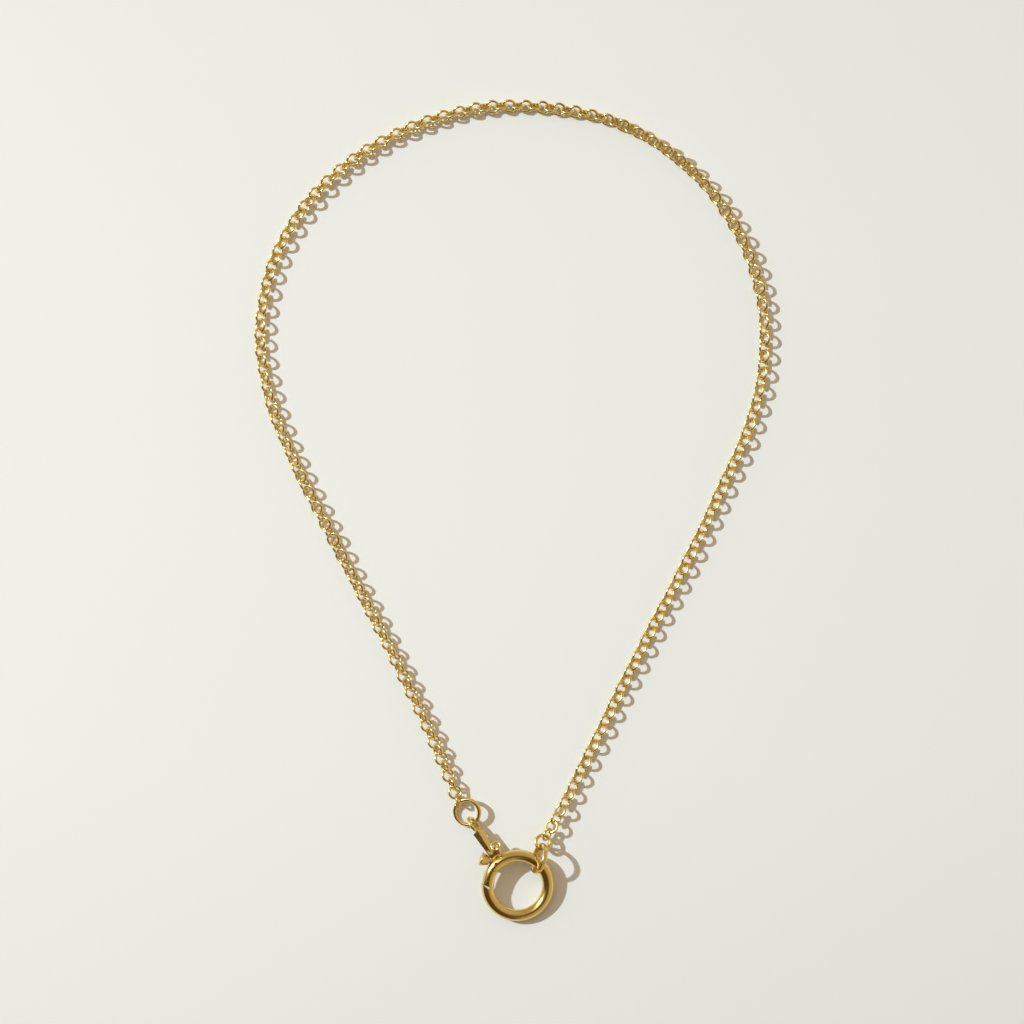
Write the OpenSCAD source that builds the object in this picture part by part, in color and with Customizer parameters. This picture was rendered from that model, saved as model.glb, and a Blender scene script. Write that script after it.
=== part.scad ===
// Rolo chain necklace with a round trigger clasp, lying open on a surface at z = 0.
// The chain runs from the left jump ring, up and round, down to the end link; the clasp closes it.

/* [Chain] */
// Outer diameter of one round link
link_d = 3.45; // [3.3:0.05:3.8]
// Thickness of the link's wire
link_wire = 0.6; // [0.5:0.02:0.64]
// Mean room between two interlocked links, along the chain
link_play = 0.21; // [0.2:0.01:0.34]
// Share by which the links lie further apart at the two ends and closer round the top
link_stretch = 0.045; // [0:0.005:0.05]
// How far single links roll out of line, in degrees
link_wobble = 5; // [0:1:8]

/* [End link] */
// Outer diameter of the larger link at the chain's right end
end_link_d = 4.15; // [4:0.05:4.5]
// Thickness of its wire
end_link_wire = 0.8; // [0.7:0.02:0.86]
// Height of its centre, where the standing jump ring holds it up
end_link_z = 2.9; // [2.6:0.1:3.2]
// Slope of its plane, down along the chain
end_link_slope = 12; // [0:1:15]
// Room between the end link and the chain's last link, along the chain
end_play = 0.3; // [0.25:0.01:0.4]

/* [Jump rings] */
// Width of the slit where each jump ring was closed
jump_slit = 0.1; // [0.05:0.01:0.2]
// Outer diameter of the left jump ring
left_ring_d = 6.9; // [6.6:0.1:7.4]
// Thickness of the left jump ring's band, across its opening
left_ring_wire = 0.9; // [0.8:0.05:1]
// Height of that band, along the ring's axis
left_ring_tall = 1.15; // [1.1:0.05:1.3]
// Slope at which the left jump ring lies
left_ring_tilt = 20; // [17:1:23]
// Outer diameter of the right jump ring
right_ring_d = 7.5; // [7.4:0.1:7.9]
// Thickness of the right jump ring's band, across its opening
right_ring_wire = 0.8; // [0.7:0.05:0.85]
// Height of that band, along the ring's axis
right_ring_tall = 1.25; // [1:0.05:1.3]
// Lean of the right jump ring from upright
right_ring_lean = 20; // [15:1:24]
// Direction in which the right jump ring runs, seen from above
right_ring_dir = 255; // [250:1:258]
// Place on the clasp where the right jump ring stands, in degrees round it
right_ring_at = 50; // [48:1:53]

/* [Connector link] */
// Outer diameter of the eye that holds the left jump ring
eye_d = 4.6; // [4.4:0.05:4.9]
// Thickness of that eye's wire
eye_wire = 0.85; // [0.75:0.02:0.9]
// Distance from the eye's centre to the bar's foot
connector_l = 7.75; // [7.2:0.05:8.4]
// Roll of the eye about the bar, its top towards the clasp's lever
eye_roll = 22; // [15:1:26]
// Width of the bar at the eye
bar_wide = 2.8; // [2.4:0.05:3]
// Width of the bar at the loop
bar_narrow = 1.7; // [1.5:0.05:1.9]
// Height of the bar as a share of its width
bar_flatness = 0.75; // [0.6:0.05:0.8]
// Direction in which the bar runs from the clasp, seen from above
bar_dir = 121.7; // [118:0.1:124]
// Distance of the bar's middle line beside the loop's centre
bar_side = 1.75; // [1.6:0.05:1.85]
// Outer diameter of the loop that holds the clasp's eye
loop_d = 2.6; // [2.5:0.05:2.8]
// Thickness of that loop's wire
loop_wire = 0.55; // [0.5:0.01:0.6]

/* [Clasp] */
// Outer diameter of the clasp's ring
clasp_d = 17; // [16.4:0.1:18]
// Diameter of its round tube
tube_d = 2.75; // [2.6:0.05:2.85]
// Place of the ring's centre across the necklace
clasp_x = 1.25; // [0.5:0.05:2]
// Place of the ring's centre along the necklace
clasp_y = -87.55; // [-89:0.05:-86]
// Slope at which the ring lies, raised at the connector
clasp_tilt = 10; // [8:0.5:12]
// Place of the small eye, in degrees round the ring
lug_at = 118.5; // [117:0.5:120]
// Outer diameter of the small eye
lug_d = 2.8; // [2.7:0.05:3]
// Thickness of the small eye's wire
lug_wire = 0.7; // [0.6:0.02:0.74]
// Height of the small eye above the ring's middle plane
lug_z = 0.5; // [0.4:0.05:0.6]
// Place of the hinge pin, in degrees round the ring
hinge_at = 134.3; // [133:0.1:136]
// How far the hinge pin lies outside the tube's centre line
hinge_out = 0.3; // [0.2:0.05:0.4]
// Place of the seam at the gate's free end, in degrees round the ring
seam_at = 180; // [176:1:184]
// How far the closed gate rests inwards of the ring, in degrees about its pin
gate_rest = 2; // [0:0.5:3]

/* [Hinge and thumb lever] */
// Diameter of the rivet
pin_d = 0.8; // [0.7:0.05:0.9]
// Thickness of the gate's tongue between the two ears
tongue_t = 1.1; // [0.9:0.05:1.2]
// Direction of the thumb lever from the pin
lever_dir = 160; // [156:1:164]
// Reach of the thumb lever from the pin
lever_l = 3.8; // [3.5:0.1:4.2]
// Width of the lever's flared end
lever_d = 3.3; // [3:0.05:3.4]
// Width of the lever where it leaves the tube
lever_foot = 2; // [1.4:0.05:2.1]
// Radius of the rim round the flared end
lever_rim = 0.28; // [0.2:0.02:0.34]
// Width of the housing beside the hinge
housing_w = 2.3; // [2:0.1:2.4]
// Place of the housing, in degrees round the ring
housing_at = 127.5; // [127:0.5:128.5]
// Reach of the housing beyond the tube
housing_out = 2; // [1.7:0.05:2.1]
// Drop of the housing's top below the ring's middle plane
housing_drop = 0.65; // [0.6:0.05:0.9]

/* [Clearances] */
// Room between wires that pass through one another
wire_clear = 0.12; // [0.1:0.01:0.16]
// Room round the gate's faces
gate_clear = 0.08; // [0.06:0.01:0.1]
// Room round the rivet in the gate's tongue
pin_clear = 0.05; // [0.03:0.01:0.08]
// Room round the rivet in the two ears
press_clear = 0.01; // [0.005:0.005:0.02]

/* [Hidden] */

// Route of the chain on the surface between its two ends, x and y
ROUTE = [
    [-17, -57], [-21, -48], [-28, -33.5], [-35.5, -19], [-43, -4.5], [-50.5, 10.5], [-56.5, 25.5],
    [-59, 41.5], [-56, 58], [-48, 72], [-36, 83], [-21.5, 90.5], [-5.5, 94.5], [11, 94],
    [26.5, 90], [40.5, 81], [51, 68.5], [57.5, 53.5], [59, 37.5], [56, 21.5], [49.5, 6.5],
    [42.5, -8.5], [35, -23], [27.5, -37.5], [20.1, -52.5], [12.9, -67]
];

// How the flatter half of the links is rolled: share of the chain's length, degrees from flat
ROLL = [
    [0, -12], [0.01, 24], [0.1, 32], [0.16, 60], [0.2, 45], [0.24, 40], [0.34, 42], [0.37, 28],
    [0.53, 28], [0.56, 45], [0.6, 45], [0.63, 35], [0.68, 35], [0.7, 45], [0.985, 45], [1, 25]
];

gold = [0.83, 0.66, 0.25];
wire_sides = 24;
ring_sides = 48;
tube_sides = 64;

// Lengths of chain over which it climbs to the jump ring and to the end link
LEFT_CLIMB = 6;
RIGHT_CLIMB = 15;

// Points along one stretch of the route
ROUTE_STEPS = 10;

// Vector helpers
function flat_dir(a) = [cos(a), sin(a), 0];
function unit(v) = v / norm(v);
function turned(v, axis, a) = v * cos(a) + cross(axis, v) * sin(a) + axis * (axis * v) * (1 - cos(a));
function polar(r, a, z = 0) = [r * cos(a), r * sin(a), z];
function mid_r(d, wire) = (d - wire) / 2;
function hole_r(d, wire) = d / 2 - wire;

// The clasp's ring lies on its lower right side and rises to the upper left
clasp_rise = 118;
ring_r = mid_r(clasp_d, tube_d);
tube_r = tube_d / 2;
tilt_axis = flat_dir(clasp_rise - 90);
clasp_at = [clasp_x, clasp_y, ring_r * sin(clasp_tilt) + tube_r];
function on_clasp(p) = clasp_at + turned(p, tilt_axis, clasp_tilt);

// Small eye on the clasp, its wire sunk a little into the tube
lug_sink = 0.2;
lug_mid = mid_r(lug_d, lug_wire);
lug_r = clasp_d / 2 + lug_d / 2 - lug_sink;

// Hinge of the gate
hinge_r = ring_r + hinge_out;
hinge = polar(hinge_r, hinge_at);
ear_cover = 0.02;
ear_r = hinge_out + tube_r + ear_cover;
ear_span = 15;
pin_l = 2 * sqrt(tube_r * tube_r - pow(hinge_out + pin_d / 2, 2));
gate_reach = norm(polar(ring_r, seam_at) - hinge);

// Connector: its lower loop holds the small eye, and its bar falls from there to the left jump ring
loop_mid = mid_r(loop_d, loop_wire);
loop_out = (hole_r(lug_d, lug_wire) - loop_wire / 2) / 2;
loop_in_lug = on_clasp(polar(lug_r + loop_out, lug_at, lug_z));
foot_back = 0.6;
eye_mid = mid_r(eye_d, eye_wire);
eye_z = eye_mid * cos(eye_roll) + eye_wire / 2;
bar_fall = asin((loop_in_lug.z - eye_z) / (connector_l + loop_mid - foot_back));
bar_axis = flat_dir(bar_dir) * cos(bar_fall) - [0, 0, sin(bar_fall)];
bar_across = flat_dir(bar_dir - 90);
bar_up = cross(bar_across, bar_axis);
eye_up = turned(bar_up, bar_axis, -eye_roll);
loop_at = loop_in_lug + loop_mid * bar_axis;
bar_foot = loop_at - foot_back * bar_axis - bar_side * bar_across;
eye_at = bar_foot + connector_l * bar_axis;

// Left jump ring: it lies on its low side, pulled to the far end of the connector's eye
left_mid = mid_r(left_ring_d, left_ring_wire);
left_flat = (left_ring_tall - left_ring_wire) / 2;
left_pull = 0.42;
left_rise = 30;
left_eye_at = -61;
left_chain_at = 129;
left_x = flat_dir(left_rise) * cos(left_ring_tilt) + [0, 0, sin(left_ring_tilt)];
left_y = flat_dir(left_rise + 90);
function left_spoke(a) = left_x * cos(a - left_rise) + left_y * sin(a - left_rise);
left_in_eye = eye_at + left_pull * bar_axis - left_mid * left_spoke(left_eye_at);
left_z = left_mid * sin(left_ring_tilt) + left_flat * cos(left_ring_tilt) + left_ring_wire / 2;
left_at = [left_in_eye.x, left_in_eye.y, left_z];

// Right jump ring: it stands on the surface, round the clasp's tube
right_mid = mid_r(right_ring_d, right_ring_wire);
right_flat = (right_ring_tall - right_ring_wire) / 2;
right_x = flat_dir(right_ring_dir);
right_y = flat_dir(right_ring_dir + 90) * sin(right_ring_lean) + [0, 0, cos(right_ring_lean)];
right_tube = on_clasp(polar(ring_r, right_ring_at));
right_z = right_mid * cos(right_ring_lean) + right_flat * sin(right_ring_lean) + right_ring_wire / 2;
right_lift = (right_z - right_tube.z) / cos(right_ring_lean);
right_room = hole_r(right_ring_d, right_ring_wire) - tube_r - wire_clear;
right_slack = 0.74;
right_back = right_slack * sqrt(right_room * right_room - right_lift * right_lift);
right_at = right_tube - right_back * right_x + right_lift * right_y;

// End link: nearly flat, round the far side of the right jump ring
end_mid = mid_r(end_link_d, end_link_wire);
end_dir = 62;
end_x = flat_dir(end_dir) * cos(end_link_slope) - [0, 0, sin(end_link_slope)];
end_y = flat_dir(end_dir + 90);
end_drop = (right_at.z - end_link_z) / cos(right_ring_lean);
end_hold = right_at - sqrt(right_mid * right_mid - end_drop * end_drop) * right_x - end_drop * right_y;
end_slack = 0.85;
end_out = end_slack * (hole_r(end_link_d, end_link_wire) - right_ring_wire / 2 - wire_clear);
end_at = end_hold + end_out * end_x;

// Two ends of the chain's route
link_mid = mid_r(link_d, link_wire);
link_hole = hole_r(link_d, link_wire);
left_wire_at = left_at + left_mid * left_spoke(left_chain_at);
left_way = unit([ROUTE[0].x - left_wire_at.x, ROUTE[0].y - left_wire_at.y, 0]);
left_share = 0.5;
left_end = left_wire_at + left_share * (link_hole - left_ring_wire / 2) * left_way;
right_step = end_mid + link_mid - (end_link_wire + link_wire) / 2 - end_play;
right_end = end_at + right_step * end_x;

// Centre line of the chain in plan, as a smooth curve through the route's points
path = concat([[left_end.x, left_end.y]], ROUTE, [[right_end.x, right_end.y]]);
function curve(a, b, c, d, t) =
    ((2 * b) + (c - a) * t + (2 * a - 5 * b + 4 * c - d) * t * t + (3 * b - a - 3 * c + d) * t * t * t) / 2;
function path_point(i, t) =
    let (last = len(path) - 1)
    curve(path[max(i - 1, 0)], path[i], path[i + 1], path[min(i + 2, last)], t);
line = concat(
    [for (i = [0 : len(path) - 2], k = [0 : ROUTE_STEPS - 1]) path_point(i, k / ROUTE_STEPS)],
    [path[len(path) - 1]]
);
run = [
    for (i = 0, s = 0; i < len(line); i = i + 1, s = s + norm(line[min(i, len(line) - 1)] - line[i - 1])) s
];
chain_l = run[len(run) - 1];
line_x = [for (i = [0 : len(line) - 1]) [run[i], line[i].x]];
line_y = [for (i = [0 : len(line) - 1]) [run[i], line[i].y]];

// Links, an odd number of them, so that both end links stand up
link_pitch = link_d - 2 * link_wire - link_play;
link_gaps = 2 * round(chain_l / link_pitch / 2);
function link_run(i) = chain_l * (i / link_gaps + link_stretch * sin(360 * i / link_gaps) / 360 * 180 / PI);
function steep(i) = let (roll = lookup(i / link_gaps, ROLL)) max(abs(sin(roll)), abs(cos(roll)));
function ease(t) = let (u = min(max(t, 0), 1)) u * u * (3 - 2 * u);
function link_z(i) =
    let (
        s = link_run(i),
        rest = link_mid * steep(i) + link_wire / 2,
        left = ease(1 - s / LEFT_CLIMB),
        right = ease(1 - (chain_l - s) / RIGHT_CLIMB)
    )
    rest + left * (max(left_wire_at.z, rest) - rest) + right * (right_end.z - rest);
function link_at(i) = let (s = link_run(i)) [lookup(s, line_x), lookup(s, line_y), link_z(i)];
function link_roll(i) = lookup(i / link_gaps, ROLL) + (i % 2 == 0 ? 90 : 0) + link_wobble * sin(137 * i);

module wire_ring(mid, wire) {
    rotate_extrude($fn = ring_sides)
        translate([mid, 0])
            circle(d = wire, $fn = wire_sides);
}

// Ring of a band with round edges, taller along its axis than it is thick
module band_ring(mid, wire, tall, slit) {
    gap = slit / mid * 180 / PI;
    flat = tall - wire;
    rotate([0, 0, gap / 2])
        rotate_extrude(angle = 360 - gap, $fn = ring_sides)
            translate([mid, 0])
                union() {
                    square([wire, flat], center = true);
                    for (side = [-1, 1])
                        translate([0, side * flat / 2])
                            circle(d = wire, $fn = wire_sides);
                }
}

// Puts its children at a point, with their x and y axes along two square unit vectors
module placed(at, x, y) {
    z = cross(x, y);
    multmatrix([
        [x.x, y.x, z.x, at.x],
        [x.y, y.y, z.y, at.y],
        [x.z, y.z, z.z, at.z],
        [0, 0, 0, 1]
    ])
        children();
}

module in_clasp() {
    translate(clasp_at)
        rotate(clasp_tilt, tilt_axis)
            children();
}

module chain() {
    color(gold)
        for (i = [0 : link_gaps]) {
            before = link_at(max(i - 1, 0));
            after = link_at(min(i + 1, link_gaps));
            ahead = unit(after - before);
            side = unit(cross([0, 0, 1], ahead));
            rise = cross(ahead, side);
            roll = link_roll(i);
            placed(link_at(i), ahead, side * cos(roll) + rise * sin(roll))
                wire_ring(link_mid, link_wire);
        }
}

module end_link() {
    color(gold)
        placed(end_at, end_x, end_y)
            wire_ring(end_mid, end_link_wire);
}

module jump_ring_left() {
    slit_at = 146;
    color(gold)
        placed(left_at, left_spoke(slit_at), left_spoke(slit_at + 90))
            band_ring(left_mid, left_ring_wire, left_ring_tall, jump_slit);
}

module jump_ring_right() {
    slit_at = 120;
    spoke = right_x * cos(slit_at) + right_y * sin(slit_at);
    color(gold)
        placed(right_at, spoke, right_y * cos(slit_at) - right_x * sin(slit_at))
            band_ring(right_mid, right_ring_wire, right_ring_tall, jump_slit);
}

// One pair of opposite faces of the bar: a wedge that narrows along x, seen along z
module bar_wedge(wide, narrow, l) {
    linear_extrude(2 * wide, center = true)
        polygon([[0, -narrow / 2], [l, -wide / 2], [l, wide / 2], [0, narrow / 2]]);
}

// Tapered bar along x with a ridge on top, made where two wedges cross
module ridged_bar(wide, narrow, l) {
    slant = atan(1 / bar_flatness);
    flat = cos(slant);
    intersection_for (side = [-1, 1])
        rotate([side * (90 - slant) + 90, 0, 0])
            bar_wedge(wide * flat, narrow * flat, l);
}

module connector_link() {
    eye_sink = 0.4 * eye_wire;
    bar_end = connector_l - eye_d / 2 + eye_sink;
    foot_share = 0.8;
    foot_h = 0.6 * bar_flatness * bar_narrow;
    color(gold)
        union() {
            placed(bar_foot, bar_axis, bar_across) {
                ridged_bar(bar_wide, bar_narrow, bar_end);
                cylinder(h = foot_h, d = bar_narrow * foot_share, center = true, $fn = ring_sides);
            }
            placed(eye_at, bar_axis, eye_up)
                wire_ring(eye_mid, eye_wire);
            placed(loop_at, bar_axis, bar_across)
                wire_ring(loop_mid, loop_wire);
        }
}

// Stretch of the clasp's tube between two places round the ring
module tube_arc(from, to) {
    rotate([0, 0, from])
        rotate_extrude(angle = to - from, $fn = tube_sides)
            translate([ring_r, 0])
                circle(r = tube_r, $fn = tube_sides);
}

module hinge_disc(r, t) {
    translate(hinge)
        cylinder(h = t, r = r, center = true, $fn = tube_sides);
}

// Everything within reach of the gate's free end, on the gate's side of the ring
module gate_sweep(reach) {
    below = 3.5;
    above = 2.5;
    intersection() {
        hinge_disc(reach, 2 * tube_d);
        translate([-clasp_d / 2 - tube_d, -below, -tube_d])
            cube([clasp_d / 2, below + above, 2 * tube_d]);
    }
}

// The tube past the pin, outside the circle of the ears, on the gate's side or the other
module outside_ears(gate_side) {
    difference() {
        rotate([0, 0, hinge_at])
            translate([ring_r - tube_d, gate_side ? 0 : -2 * tube_d, -tube_d])
                cube(2 * tube_d);
        hinge_disc(ear_r, 3 * tube_d);
    }
}

module housing() {
    outer = clasp_d / 2 + housing_out;
    rotate([0, 0, housing_at])
        translate([ring_r, -housing_w / 2, -tube_r])
            cube([outer - ring_r, housing_w, tube_r - housing_drop]);
}

module clasp_body() {
    slot_t = tongue_t + 2 * gate_clear;
    arm = 8;
    color(gold)
        in_clasp()
            union() {
                difference() {
                    union() {
                        difference() {
                            tube_arc(seam_at - arm, hinge_at + ear_span + 360);
                            gate_sweep(gate_reach + gate_clear);
                            outside_ears(gate_side = true);
                        }
                        housing();
                    }
                    hinge_disc(ear_r + gate_clear, slot_t);
                    hinge_disc(pin_d / 2 + press_clear, 2 * tube_d);
                }
                translate(polar(lug_r, lug_at, lug_z))
                    rotate([90, 0, lug_at])
                        wire_ring(lug_mid, lug_wire);
            }
}

// Thumb lever, round and flared, drawn upwards from the pin
module thumb_lever() {
    neck_r = tongue_t / 2;
    neck_end = ear_r + gate_clear;
    head_r = lever_d / 2;
    rotate_extrude($fn = tube_sides)
        union() {
            square([neck_r, neck_end]);
            polygon([
                [0, neck_end - gate_clear], [lever_foot / 2, neck_end],
                [head_r, lever_l - lever_rim], [head_r - lever_rim, lever_l], [0, lever_l]
            ]);
            translate([head_r - lever_rim, lever_l - lever_rim])
                circle(r = lever_rim, $fn = wire_sides);
        }
}

module clasp_gate() {
    arm = 8;
    color(gold)
        in_clasp()
            translate(hinge)
                rotate([0, 0, gate_rest])
                    translate(-hinge)
                        difference() {
                            union() {
                                difference() {
                                    intersection() {
                                        tube_arc(hinge_at - ear_span, seam_at + arm);
                                        hinge_disc(gate_reach, 2 * tube_d);
                                    }
                                    difference() {
                                        hinge_disc(ear_r + gate_clear, 2 * tube_d);
                                        hinge_disc(ear_r + 1, tongue_t);
                                    }
                                    outside_ears(gate_side = false);
                                }
                                translate(hinge)
                                    rotate([0, 90, lever_dir])
                                        thumb_lever();
                            }
                            hinge_disc(pin_d / 2 + pin_clear, 2 * tube_d);
                        }
}

module clasp_pin() {
    color(gold)
        in_clasp()
            hinge_disc(pin_d / 2, pin_l);
}

chain();
end_link();
jump_ring_left();
jump_ring_right();
connector_link();
clasp_body();
clasp_gate();
clasp_pin();
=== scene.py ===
"""Looks of a gold rolo chain necklace that lies open on a pale surface, seen from straight above."""

import math

import bmesh
import bpy
import numpy as np
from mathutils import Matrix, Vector


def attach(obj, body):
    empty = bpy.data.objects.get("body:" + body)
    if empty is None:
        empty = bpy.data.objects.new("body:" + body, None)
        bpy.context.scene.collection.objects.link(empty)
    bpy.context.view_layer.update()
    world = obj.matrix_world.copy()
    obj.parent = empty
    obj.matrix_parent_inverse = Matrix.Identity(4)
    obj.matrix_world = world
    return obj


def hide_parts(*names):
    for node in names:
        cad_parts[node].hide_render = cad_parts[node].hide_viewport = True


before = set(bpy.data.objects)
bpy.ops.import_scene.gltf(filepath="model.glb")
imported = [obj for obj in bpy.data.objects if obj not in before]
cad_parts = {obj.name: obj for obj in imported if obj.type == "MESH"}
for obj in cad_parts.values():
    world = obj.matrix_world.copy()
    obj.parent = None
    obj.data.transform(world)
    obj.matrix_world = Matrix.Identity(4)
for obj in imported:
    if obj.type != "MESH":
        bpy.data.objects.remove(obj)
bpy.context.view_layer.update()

MM = 0.001
BODY = "necklace"

# Camera: the width it sees, the middle of that, and a long lens straight above the surface
VIEW_WIDTH = 0.2398
VIEW_CENTRE = (-0.00009, -0.00023)
LENS = 300
SENSOR = 36

# One hard light from the upper left
SUN_TRAVEL = Vector((1.14, -0.46, -1.0))
SUN_STRENGTH = 2.75
SUN_COLOUR = (0.88, 1.04, 1.15)
SUN_ANGLE = math.radians(1.6)

# Warm room: its tones from the horizon up, and how bright it is on one side and opposite
ROOM_TONES = [
    (0.0, (0.64, 0.54, 0.40)),
    (0.3, (0.64, 0.52, 0.36)),
    (0.6, (0.59, 0.47, 0.32)),
    (1.0, (0.52, 0.42, 0.29)),
]
BRIGHT_SIDE = math.radians(20)
BRIGHT, DIM = 1.08, 0.60

# Dark wedge of the room, from past the zenith down to one corner
DARK_CORNER = math.radians(228)
DARK_TONE = (0.13, 0.075, 0.027)
DARK_LEAN = 0.26  # how far its upper part lies beside the corner's plane
DARK_TOP = (-0.2, 0.06)  # where it fades in, past the zenith
DARK_EDGE = (0.12, 0.38)  # where it fades out at the sides
DARK_FROM, DARK_SPREAD = 0.2, 0.9  # where it starts to widen, and how fast

# Bright upright strip of the room, behind the hard light
GLOW_SIDE = math.radians(151)
GLOW_TONE = (2.9, 2.8, 2.7)
GLOW_EDGE = (0.06, 0.19)
GLOW_TOP = (0.12, 0.4)

# Floor: its cream tone with painted shade that darkens it from left to right, painted shade as greys
# from near to far, and how far from the middle they end
FLOOR_TONES_WITH_PAINTED_SHADE = [(0.0, (0.90, 0.89, 0.86)), (1.0, (0.80, 0.79, 0.76))]
FLOOR_PAINTED_SHADE_GREYS = [(0.0, 0.935), (0.25, 0.985), (0.5, 1.0), (0.75, 1.0), (1.0, 0.98)]
FLOOR_FADE = 0.12
FLOOR_HALF = 3.0
FLOOR_ROUGHNESS = 0.75

# Gold: two tones that drift into each other, uneven gloss and fine scratches
DEEP_GOLD = (0.77, 0.57, 0.19)
PALE_GOLD = (0.85, 0.65, 0.25)
TONE_SCALE, TONE_LIMITS = 260.0, (0.35, 0.65)
GLOSS_SCALE, GLOSS_LIMITS = 900.0, (0.3, 0.7)
GLOSS_SHARE = 0.25
SCRATCH_SCALE = (5200.0, 900.0, 2400.0)
SCRATCH_TURN = (0.3, 0.2, 0.7)
SCRATCH_DEPTH = 0.02 * MM

# Links of the chain, as fine meshes
LINK_SIDES = 28
WIRE_SIDES = 12

# Solids: points this close are one, and edges sharper than this are rounded
SAME_POINT = 1e-7
SHARP = math.radians(35)


class Tree:
    """Short way to add and join shader nodes."""

    def __init__(self, owner):
        owner.use_nodes = True
        self.tree = owner.node_tree
        self.tree.nodes.clear()

    def add(self, kind, **values):
        """A new node, with its settings and inputs set by name."""
        node = self.tree.nodes.new(kind)
        for name, value in values.items():
            if hasattr(node, name) and name not in node.inputs:
                setattr(node, name, value)
            else:
                node.inputs[name].default_value = value
        return node

    def join(self, source, target):
        self.tree.links.new(source, target)

    def set(self, slot, value):
        """Feed an input from a socket, a colour or a number."""
        if isinstance(value, bpy.types.NodeSocket):
            self.join(value, slot)
        else:
            slot.default_value = (*value, 1) if isinstance(value, tuple) else value

    def place(self, kind):
        """Texture coordinates: of the object, or of the room's directions."""
        return self.add("ShaderNodeTexCoord").outputs[kind]

    def axis(self, place, name):
        """One coordinate of a place or direction."""
        split = self.add("ShaderNodeSeparateXYZ")
        self.join(place, split.inputs["Vector"])
        return split.outputs[name]

    def noise(self, place, **values):
        node = self.add("ShaderNodeTexNoise", **values)
        self.join(place, node.inputs["Vector"])
        return node.outputs["Fac"]

    def maths(self, operation, a, b):
        node = self.add("ShaderNodeMath", operation=operation)
        self.set(node.inputs[0], a)
        self.set(node.inputs[1], b)
        return node.outputs[0]

    def span(self, source, limits, ends, smooth=True):
        """A value carried from one span to another, clamped, and eased at both ends if smooth."""
        node = self.add("ShaderNodeMapRange", interpolation_type="SMOOTHSTEP" if smooth else "LINEAR")
        node.inputs["From Min"].default_value, node.inputs["From Max"].default_value = limits
        node.inputs["To Min"].default_value, node.inputs["To Max"].default_value = ends
        self.join(source, node.inputs["Value"])
        return node.outputs["Result"]

    def heading(self, place, azimuth):
        """How far a direction points towards an azimuth, from -1 to 1."""
        dot = self.add("ShaderNodeVectorMath", operation="DOT_PRODUCT")
        dot.inputs[1].default_value = (math.cos(azimuth), math.sin(azimuth), 0)
        self.join(place, dot.inputs[0])
        return dot.outputs["Value"]

    def ramp(self, source, stops):
        """Colours along a value from 0 to 1."""
        node = self.add("ShaderNodeValToRGB")
        first, last = node.color_ramp.elements
        first.position, first.color = stops[0][0], (*stops[0][1], 1)
        last.position, last.color = stops[-1][0], (*stops[-1][1], 1)
        for place, colour in stops[1:-1]:
            node.color_ramp.elements.new(place).color = (*colour, 1)
        self.join(source, node.inputs["Fac"])
        return node.outputs["Color"]

    def blend(self, share, first, second, kind="MIX"):
        """Two colours blended."""
        node = self.add("ShaderNodeMix", data_type="RGBA", blend_type=kind)
        slots = {slot.identifier: slot for slot in node.inputs}
        self.set(slots["Factor_Float"], share)
        self.set(slots["A_Color"], first)
        self.set(slots["B_Color"], second)
        return next(slot for slot in node.outputs if slot.identifier == "Result_Color")


def gold(name, roughness, scratches):
    """Polished plated gold: slight drifts of tone and gloss, and fine scratches."""
    material = bpy.data.materials.new(name)
    tree = Tree(material)
    place = tree.place("Object")
    out = tree.add("ShaderNodeOutputMaterial")
    skin = tree.add("ShaderNodeBsdfPrincipled", Metallic=1.0)

    drift = tree.noise(place, Scale=TONE_SCALE, Detail=3.0, Roughness=0.5)
    tones = [(TONE_LIMITS[0], DEEP_GOLD), (TONE_LIMITS[1], PALE_GOLD)]
    tree.join(tree.ramp(drift, tones), skin.inputs["Base Color"])

    haze = tree.noise(place, Scale=GLOSS_SCALE, Detail=4.0, Roughness=0.6)
    ends = (roughness * (1 - GLOSS_SHARE), roughness * (1 + GLOSS_SHARE))
    tree.join(tree.span(haze, GLOSS_LIMITS, ends, smooth=False), skin.inputs["Roughness"])

    stretch = tree.add("ShaderNodeMapping", Scale=SCRATCH_SCALE, Rotation=SCRATCH_TURN)
    tree.join(place, stretch.inputs["Vector"])
    lines = tree.noise(stretch.outputs["Vector"], Scale=1.0, Detail=2.0, Roughness=0.6)
    bump = tree.add("ShaderNodeBump", Strength=scratches, Distance=SCRATCH_DEPTH)
    tree.join(lines, bump.inputs["Height"])
    tree.join(bump.outputs["Normal"], skin.inputs["Normal"])

    tree.join(skin.outputs["BSDF"], out.inputs["Surface"])
    return material


def mesh_object(name, points, faces):
    """A smooth-shaded object from points and faces."""
    mesh = bpy.data.meshes.new(name)
    mesh.from_pydata([tuple(p) for p in points], [], [tuple(int(k) for k in f) for f in faces])
    mesh.validate()
    mesh.polygons.foreach_set("use_smooth", [True] * len(mesh.polygons))
    obj = bpy.data.objects.new(name, mesh)
    bpy.context.scene.collection.objects.link(obj)
    return obj


def islands(node):
    """The loose solids of a CAD node, each as an array of its points."""
    shape = bmesh.new()
    shape.from_mesh(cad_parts[node].data)
    bmesh.ops.remove_doubles(shape, verts=shape.verts, dist=SAME_POINT)
    seen = set()
    found = []
    for start in shape.verts:
        if start.index in seen:
            continue
        seen.add(start.index)
        group = [start]
        for vert in group:
            for edge in vert.link_edges:
                other = edge.other_vert(vert)
                if other.index not in seen:
                    seen.add(other.index)
                    group.append(other)
        found.append(np.array([v.co for v in group], float))
    shape.free()
    return found


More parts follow.
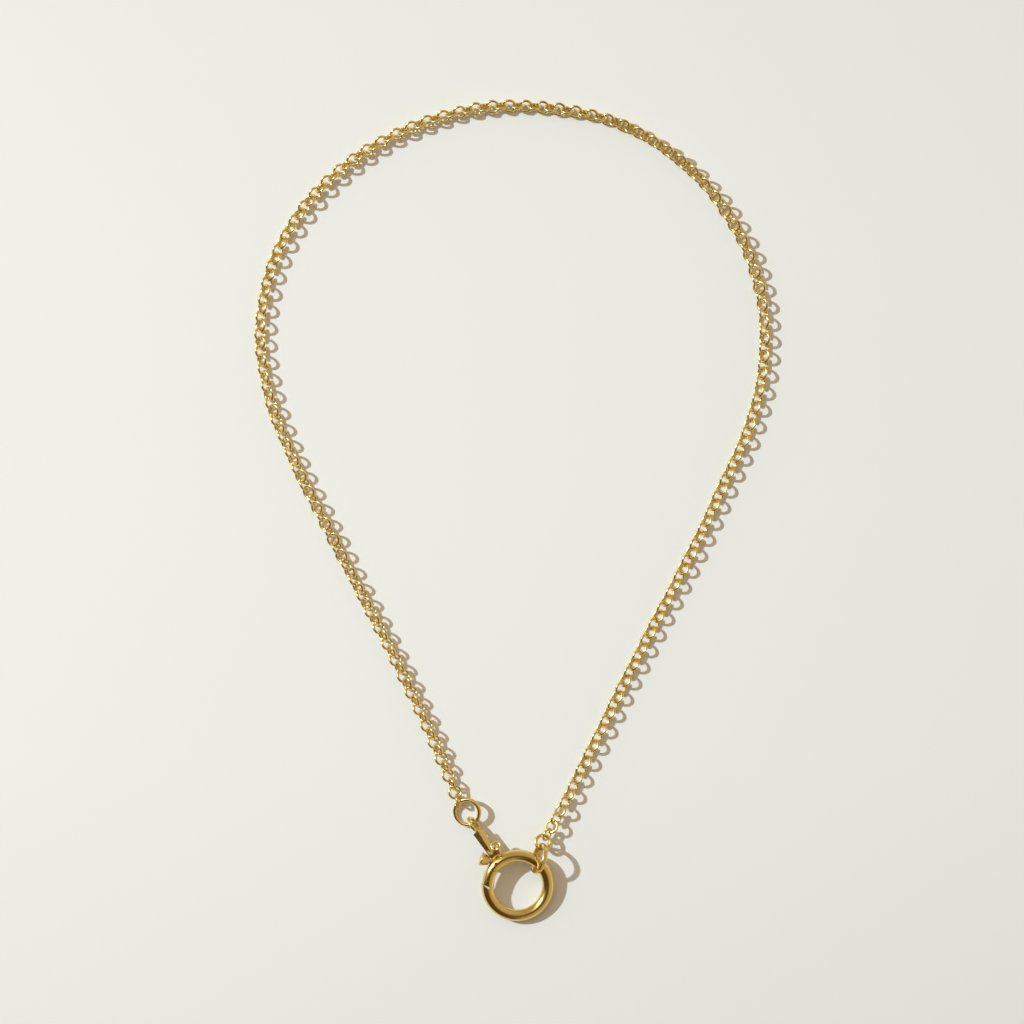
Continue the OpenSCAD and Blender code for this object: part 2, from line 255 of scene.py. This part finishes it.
def ring_frame(points):
    """Centre, two directions in its plane, the normal, and the middle and wire radii of a wire ring."""
    centre = (points.min(0) + points.max(0)) / 2
    for _ in range(3):
        _, _, axes = np.linalg.svd(points - centre, full_matrices=False)
        local = (points - centre) @ axes.T
        centre = centre + ((local.min(0) + local.max(0)) / 2) @ axes
    local = (points - centre) @ axes.T
    reach = np.hypot(local[:, 0], local[:, 1])
    wire = (reach.max() - reach.min()) / 2
    return centre, axes[0], axes[1], axes[2], reach.max() - wire, wire


def torus(centre, x, y, z, mid, wire):
    """Points and faces of one round wire ring."""
    turn = np.linspace(0, 2 * np.pi, LINK_SIDES, endpoint=False)
    roll = np.linspace(0, 2 * np.pi, WIRE_SIDES, endpoint=False)
    spokes = np.cos(turn)[:, None] * x + np.sin(turn)[:, None] * y
    reach = mid + wire * np.cos(roll)
    rise = wire * np.sin(roll)
    points = centre + spokes[:, None, :] * reach[None, :, None] + rise[None, :, None] * z
    a, b = np.meshgrid(np.arange(LINK_SIDES), np.arange(WIRE_SIDES), indexing="ij")
    a1, b1 = (a + 1) % LINK_SIDES, (b + 1) % WIRE_SIDES
    corners = [(a, b), (a1, b), (a1, b1), (a, b1)]
    faces = np.stack([row * WIRE_SIDES + column for row, column in corners], -1)
    return points.reshape(-1, 3), faces.reshape(-1, 4)


def chain_links():
    """Every link of the chain as a fine ring, where its CAD solid lies."""
    points, faces, count = [], [], 0
    for solid in islands("chain"):
        centre, x, y, z, mid, wire = ring_frame(solid)
        if np.dot(np.cross(x, y), z) < 0:
            z = -z
        p, f = torus(centre, x, y, z, mid, wire)
        points.append(p)
        faces.append(f + count)
        count += len(p)
    obj = mesh_object("chain_links", np.concatenate(points), np.concatenate(faces))
    dress(obj, chain_gold)
    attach(obj, BODY)
    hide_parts("chain")


def dress(obj, material):
    """Give an object its one material."""
    obj.data.materials.clear()
    obj.data.materials.append(material)


def soften(node, material, width=0):
    """A CAD node as it is, with its edges rounded a little."""
    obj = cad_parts[node]
    dress(obj, material)
    if width:
        weld = obj.modifiers.new("weld", "WELD")
        weld.merge_threshold = SAME_POINT
        bevel = obj.modifiers.new("bevel", "BEVEL")
        bevel.width = width
        bevel.segments = 2
        bevel.limit_method = "ANGLE"
        bevel.angle_limit = SHARP
        bevel.harden_normals = True


def room():
    """Warm room, brighter on one side, with its dark wedge and the bright strip behind the light."""
    world = bpy.data.worlds.new("room")
    bpy.context.scene.world = world
    tree = Tree(world)
    out = tree.add("ShaderNodeOutputWorld")
    shine = tree.add("ShaderNodeBackground")
    place = tree.place("Generated")

    towards = tree.heading(place, BRIGHT_SIDE)
    tree.join(tree.span(towards, (-1, 1), (DIM, BRIGHT), smooth=False), shine.inputs["Strength"])
    tone = tree.ramp(tree.axis(place, "Z"), ROOM_TONES)

    corner = tree.heading(place, DARK_CORNER)
    above = tree.maths("SUBTRACT", 1, tree.maths("MAXIMUM", corner, 0))
    lean = tree.maths("MULTIPLY", above, DARK_LEAN)
    across = tree.maths("SUBTRACT", tree.heading(place, DARK_CORNER + math.pi / 2), lean)
    beside = tree.maths("ABSOLUTE", across, 0)
    past = tree.maths("MAXIMUM", tree.maths("SUBTRACT", corner, DARK_FROM), 0)
    widened = tree.maths("SUBTRACT", beside, tree.maths("MULTIPLY", past, DARK_SPREAD))
    narrow = tree.span(widened, DARK_EDGE, (1, 0))
    dark = tree.maths("MULTIPLY", narrow, tree.span(corner, DARK_TOP, (0, 1)))

    astray = tree.maths("ABSOLUTE", tree.heading(place, GLOW_SIDE + math.pi / 2), 0)
    ahead = tree.span(tree.heading(place, GLOW_SIDE), GLOW_TOP, (0, 1))
    glow = tree.maths("MULTIPLY", tree.span(astray, GLOW_EDGE, (1, 0)), ahead)

    dimmed = tree.blend(dark, tone, DARK_TONE)
    tree.join(tree.blend(glow, dimmed, GLOW_TONE), shine.inputs["Color"])
    tree.join(shine.outputs["Background"], out.inputs["Surface"])


def sun():
    data = bpy.data.lights.new("sun", "SUN")
    data.energy = SUN_STRENGTH
    data.color = SUN_COLOUR
    data.angle = SUN_ANGLE
    obj = bpy.data.objects.new("sun", data)
    obj.rotation_mode = "QUATERNION"
    obj.rotation_quaternion = SUN_TRAVEL.to_track_quat("-Z", "Y")
    obj.location = -SUN_TRAVEL
    bpy.context.scene.collection.objects.link(obj)


def floor():
    """Pale matt surface with painted shade: a little brighter to the left and darker at the foot of the
    picture.
    """
    half = FLOOR_HALF
    corners = [(-half, -half, 0), (half, -half, 0), (half, half, 0), (-half, half, 0)]
    obj = mesh_object("floor", corners, [(0, 1, 2, 3)])
    material = bpy.data.materials.new("floor_with_painted_shade")
    tree = Tree(material)
    out = tree.add("ShaderNodeOutputMaterial")
    skin = tree.add("ShaderNodeBsdfPrincipled", Roughness=FLOOR_ROUGHNESS)
    place = tree.place("Object")
    limits = (-FLOOR_FADE, FLOOR_FADE)
    across = tree.span(tree.axis(place, "X"), limits, (0, 1), smooth=False)
    along = tree.span(tree.axis(place, "Y"), limits, (0, 1), smooth=False)
    # Painted shade: greys darken the floor near the foot of the picture, and the tones darken it to the
    # right
    painted_shade = tree.ramp(along, [(stop, (grey, grey, grey)) for stop, grey in FLOOR_PAINTED_SHADE_GREYS])
    tone_and_painted_shade = tree.blend(1.0, tree.ramp(across, FLOOR_TONES_WITH_PAINTED_SHADE), painted_shade, "MULTIPLY")
    tree.join(tone_and_painted_shade, skin.inputs["Base Color"])
    tree.join(skin.outputs["BSDF"], out.inputs["Surface"])
    obj.data.materials.append(material)


def camera():
    data = bpy.data.cameras.new("camera")
    data.lens = LENS
    data.sensor_width = SENSOR
    data.clip_start = 0.01
    data.clip_end = 100
    obj = bpy.data.objects.new("camera", data)
    obj.location = (*VIEW_CENTRE, VIEW_WIDTH * LENS / SENSOR)
    bpy.context.scene.collection.objects.link(obj)
    bpy.context.scene.camera = obj


chain_gold = gold("chain_gold", roughness=0.2, scratches=0.25)
ring_gold = gold("ring_gold", roughness=0.19, scratches=0.2)
clasp_gold = gold("clasp_gold", roughness=0.19, scratches=0.15)

bpy.context.scene.view_settings.view_transform = "Standard"
camera()
sun()
room()
floor()
chain_links()
soften("end_link", ring_gold)
soften("jump_ring_left", ring_gold, 0.04 * MM)
soften("jump_ring_right", ring_gold, 0.04 * MM)
soften("connector_link", ring_gold, 0.06 * MM)
soften("clasp_body", clasp_gold, 0.05 * MM)
soften("clasp_gate", clasp_gold, 0.05 * MM)
soften("clasp_pin", clasp_gold, 0.03 * MM)
